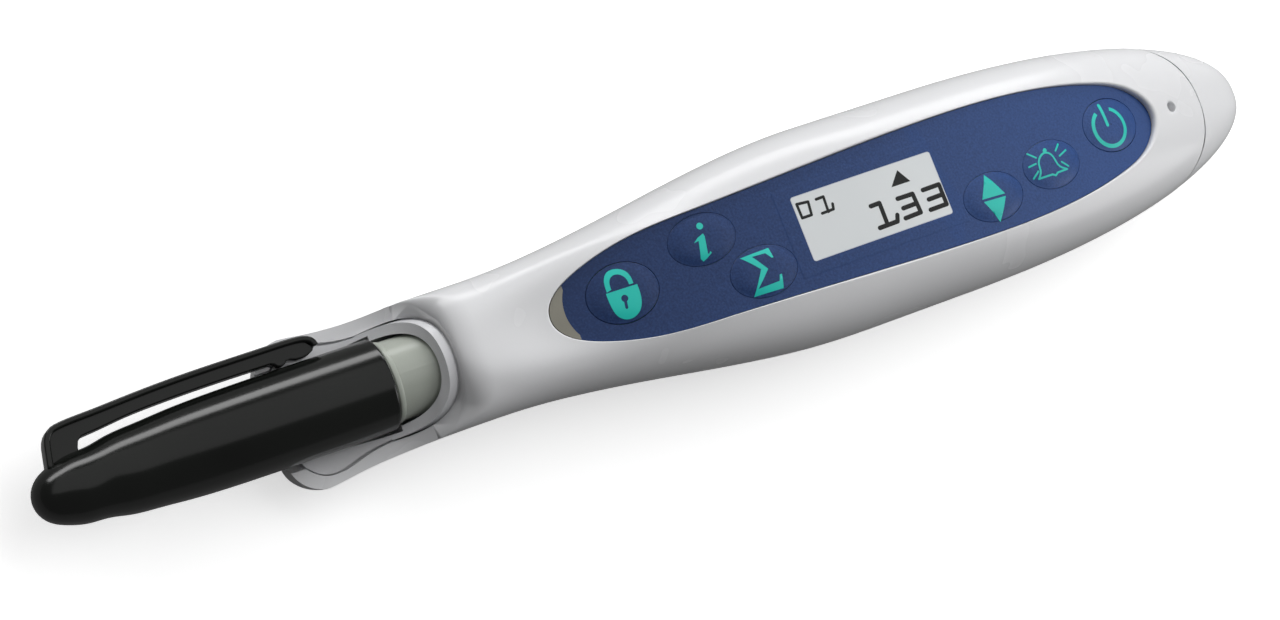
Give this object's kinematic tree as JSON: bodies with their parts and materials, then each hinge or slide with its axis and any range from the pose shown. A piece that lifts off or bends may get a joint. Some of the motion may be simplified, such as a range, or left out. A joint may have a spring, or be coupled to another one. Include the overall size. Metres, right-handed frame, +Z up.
{
  "type": "pen-style colony counter",
  "caption": "Hand-held pen-style colony counter: rounded handle with display and rubber keys, carrying a capped fibre-tip marker on a sprung carriage.",
  "frame": {"origin": "middle of the flat face under the handle that it rests on", "axes": "+X towards the tail, +Y across the handle on the side of the marker's clip, +Z up out of the display"},
  "size_m": [0.1984, 0.0318, 0.0233],
  "materials": {
    "shell_white": "glossy moulded ABS",
    "carriage_white": "satin moulded ABS",
    "screw_steel": "plated steel",
    "spring_steel": "drawn spring wire",
    "cell_steel": "brushed can",
    "contact_brass": "plain sheet",
    "board_green": "solder-masked laminate",
    "switch_black": "matt moulded",
    "plunger_red": "matt moulded",
    "lcd_grey": "reflective display behind glass",
    "window_clear": "clear polycarbonate",
    "panel_blue": "textured printed film",
    "lens_smoke": "translucent moulded",
    "led_clear": "clear resin",
    "key_rubber": "silicone, gloss top",
    "barrel_grey": "moulded",
    "section_black": "moulded",
    "ink_felt": "inked fibre",
    "cap_black": "glossy moulded",
    "seal_white": "moulded"
  },
  "bodies": {
    "housing": {"upper_shell": "shell_white", "lower_shell": "shell_white", "shell_screws": "screw_steel", "battery_contact_top": "contact_brass", "battery_contact_bottom": "contact_brass", "circuit_board": "board_green", "board_screws": "screw_steel", "tact_switches": "switch_black", "lcd_holder": "switch_black", "lcd_glass": "lcd_grey", "lcd_window": "window_clear", "display_overlay": "panel_blue", "indicator_lens": "lens_smoke", "indicator_led": "led_clear", "beeper": "contact_brass", "count_switch": "switch_black", "carriage_spring": "spring_steel"},
    "drawer": {"tail_cap": "shell_white", "coin_cell": "cell_steel"},
    "carriage": {"pen_carriage": "carriage_white"},
    "plunger": {"count_plunger": "plunger_red"},
    "marker": {"marker_barrel": "barrel_grey", "ink_reservoir": "ink_felt", "marker_section": "section_black", "marker_nib": "ink_felt"},
    "cap": {"marker_cap": "cap_black", "cap_inner_seal": "seal_white"},
    "lock_key": {"key_lock": "key_rubber"},
    "info_key": {"key_info": "key_rubber"},
    "sum_key": {"key_sum": "key_rubber"},
    "arrows_key": {"key_arrows": "key_rubber"},
    "alarm_key": {"key_alarm": "key_rubber"},
    "power_key": {"key_power": "key_rubber"}
  },
  "joints": [
    {"name": "tail_drawer", "type": "slide", "parent": "housing", "child": "drawer", "axis": [1, 0, 0], "range_m": [0, 0.034]},
    {"name": "carriage_press", "type": "slide", "parent": "housing", "child": "carriage", "axis": [1, 0, 0], "range_m": [0, 0.0008], "stiffness_N_per_m": 400, "springref_m": -0.001, "deforming": ["carriage_spring"]},
    {"name": "plunger_press", "type": "slide", "parent": "housing", "child": "plunger", "axis": [1, 0, 0], "range_m": [0, 0.0008]},
    {"name": "marker_withdraw", "type": "slide", "parent": "carriage", "child": "marker", "axis": [-1, 0, 0], "range_m": [0, 0.11]},
    {"name": "cap_pull", "type": "slide", "parent": "marker", "child": "cap", "axis": [-1, 0, 0], "range_m": [0, 0.06]},
    {"name": "lock_press", "type": "slide", "parent": "housing", "child": "lock_key", "axis": [0, 0, -1], "range_m": [0, 0.00025], "stiffness_N_per_m": 1500, "springref_m": -0.0003},
    {"name": "info_press", "type": "slide", "parent": "housing", "child": "info_key", "axis": [0, 0, -1], "range_m": [0, 0.00025], "stiffness_N_per_m": 1500, "springref_m": -0.0003},
    {"name": "sum_press", "type": "slide", "parent": "housing", "child": "sum_key", "axis": [0, 0, -1], "range_m": [0, 0.00025], "stiffness_N_per_m": 1500, "springref_m": -0.0003},
    {"name": "arrows_press", "type": "slide", "parent": "housing", "child": "arrows_key", "axis": [0, 0, -1], "range_m": [0, 0.00025], "stiffness_N_per_m": 1500, "springref_m": -0.0003},
    {"name": "alarm_press", "type": "slide", "parent": "housing", "child": "alarm_key", "axis": [0, 0, -1], "range_m": [0, 0.00025], "stiffness_N_per_m": 1500, "springref_m": -0.0003},
    {"name": "power_press", "type": "slide", "parent": "housing", "child": "power_key", "axis": [0, 0, -1], "range_m": [0, 0.00025], "stiffness_N_per_m": 1500, "springref_m": -0.0003}
  ],
  "couplings": [
    {"joint": "plunger_press", "follows": "carriage_press", "ratio": 1}
  ]
}
